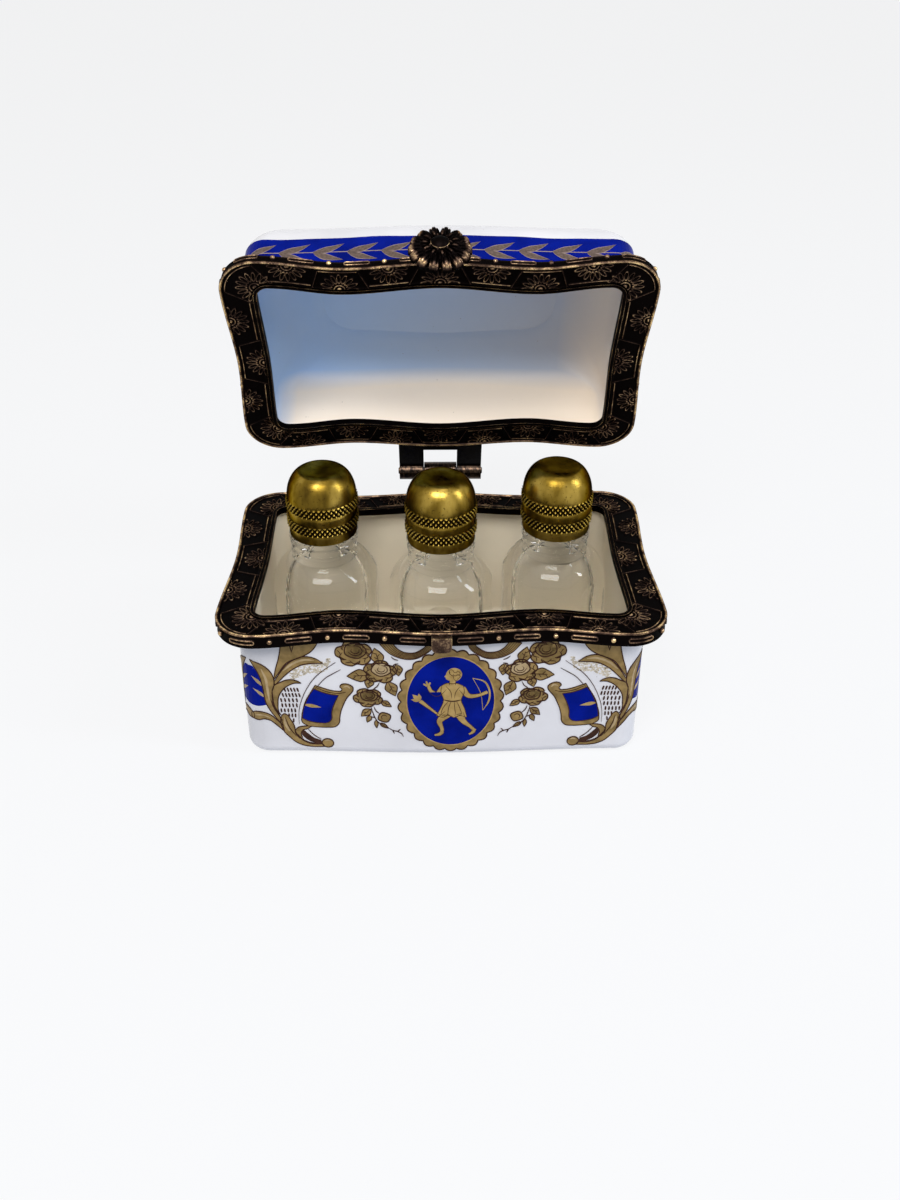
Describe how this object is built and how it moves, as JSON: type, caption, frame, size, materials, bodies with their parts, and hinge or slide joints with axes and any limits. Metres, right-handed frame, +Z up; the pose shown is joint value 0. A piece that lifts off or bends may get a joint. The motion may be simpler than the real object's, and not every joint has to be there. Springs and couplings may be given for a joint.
{
  "type": "perfume casket",
  "caption": "Porcelain scent casket with a hinged domed lid in wavy bronze mounts, flower clasp, and faceted glass bottles with knurled brass screw caps inside.",
  "frame": {"origin": "middle of the flat underside of the porcelain base", "axes": "+Z up, +Y towards the hinge, +X to the right as seen from the clasp side; the lid is open at rest"},
  "size_m": [0.0904, 0.0796, 0.1017],
  "materials": {
    "porcelain": "white glazed porcelain, gloss, with blue and gold painting",
    "bronze": "stamped brass antiqued nearly black, worn gold on the high lines",
    "bronze_lining": "antiqued brass, darker and smoother, worn gold on the edge",
    "copper_pin": "worn coppery brass",
    "bottle_glass": "clear pressed glass",
    "cap_brass": "lacquered yellow brass, turned and knurled",
    "cork": "cork disc"
  },
  "bodies": {
    "base": {"base_porcelain": "porcelain", "base_mount": "bronze", "base_lining": "bronze_lining", "base_catch": "bronze", "base_hinge_leaf": "bronze"},
    "lid": {"lid_porcelain": "porcelain", "lid_mount": "bronze", "lid_lining": "bronze_lining", "lid_hinge_leaf": "bronze", "hinge_pin": "copper_pin", "clasp_tongue": "bronze", "clasp_flower": "bronze", "clasp_boss": "bronze"},
    "bottle_left": {"bottle_left": "bottle_glass"},
    "liner_left": {"cap_liner_left": "cork"},
    "cap_left": {"cap_left": "cap_brass"},
    "bottle_middle": {"bottle_middle": "bottle_glass"},
    "liner_middle": {"cap_liner_middle": "cork"},
    "cap_middle": {"cap_middle": "cap_brass"},
    "bottle_right": {"bottle_right": "bottle_glass"},
    "liner_right": {"cap_liner_right": "cork"},
    "cap_right": {"cap_right": "cap_brass"}
  },
  "joints": [
    {"name": "lid_hinge", "type": "hinge", "parent": "base", "child": "lid", "pos_m": [0, 0.0373, 0.0346], "axis": [-1, 0, 0], "range_deg": [-68.4, 31.6]},
    {"name": "bottle_left_lift", "type": "slide", "parent": "base", "child": "bottle_left", "axis": [0, 0, 1], "range_m": [0, 0.031]},
    {"name": "cap_left_rise", "type": "slide", "parent": "bottle_left", "child": "liner_left", "axis": [0, 0, 1], "range_m": [0, 0.008]},
    {"name": "cap_left_twist", "type": "hinge", "parent": "liner_left", "child": "cap_left", "pos_m": [-0.0256, 0.0058, 0.045], "axis": [0, 0, 1], "range_deg": [0, 720]},
    {"name": "bottle_middle_lift", "type": "slide", "parent": "base", "child": "bottle_middle", "axis": [0, 0, 1], "range_m": [0, 0.031]},
    {"name": "cap_middle_rise", "type": "slide", "parent": "bottle_middle", "child": "liner_middle", "axis": [0, 0, 1], "range_m": [0, 0.008]},
    {"name": "cap_middle_twist", "type": "hinge", "parent": "liner_middle", "child": "cap_middle", "pos_m": [0, 0.0023, 0.045], "axis": [0, 0, 1], "range_deg": [0, 720]},
    {"name": "bottle_right_lift", "type": "slide", "parent": "base", "child": "bottle_right", "axis": [0, 0, 1], "range_m": [0, 0.031]},
    {"name": "cap_right_rise", "type": "slide", "parent": "bottle_right", "child": "liner_right", "axis": [0, 0, 1], "range_m": [0, 0.008]},
    {"name": "cap_right_twist", "type": "hinge", "parent": "liner_right", "child": "cap_right", "pos_m": [0.0252, 0.007, 0.045], "axis": [0, 0, 1], "range_deg": [0, 720]}
  ],
  "couplings": [
    {"joint": "cap_left_rise", "follows": "cap_left_twist", "m_per_rad": 0.00063662},
    {"joint": "cap_middle_rise", "follows": "cap_middle_twist", "m_per_rad": 0.00063662},
    {"joint": "cap_right_rise", "follows": "cap_right_twist", "m_per_rad": 0.00063662}
  ]
}
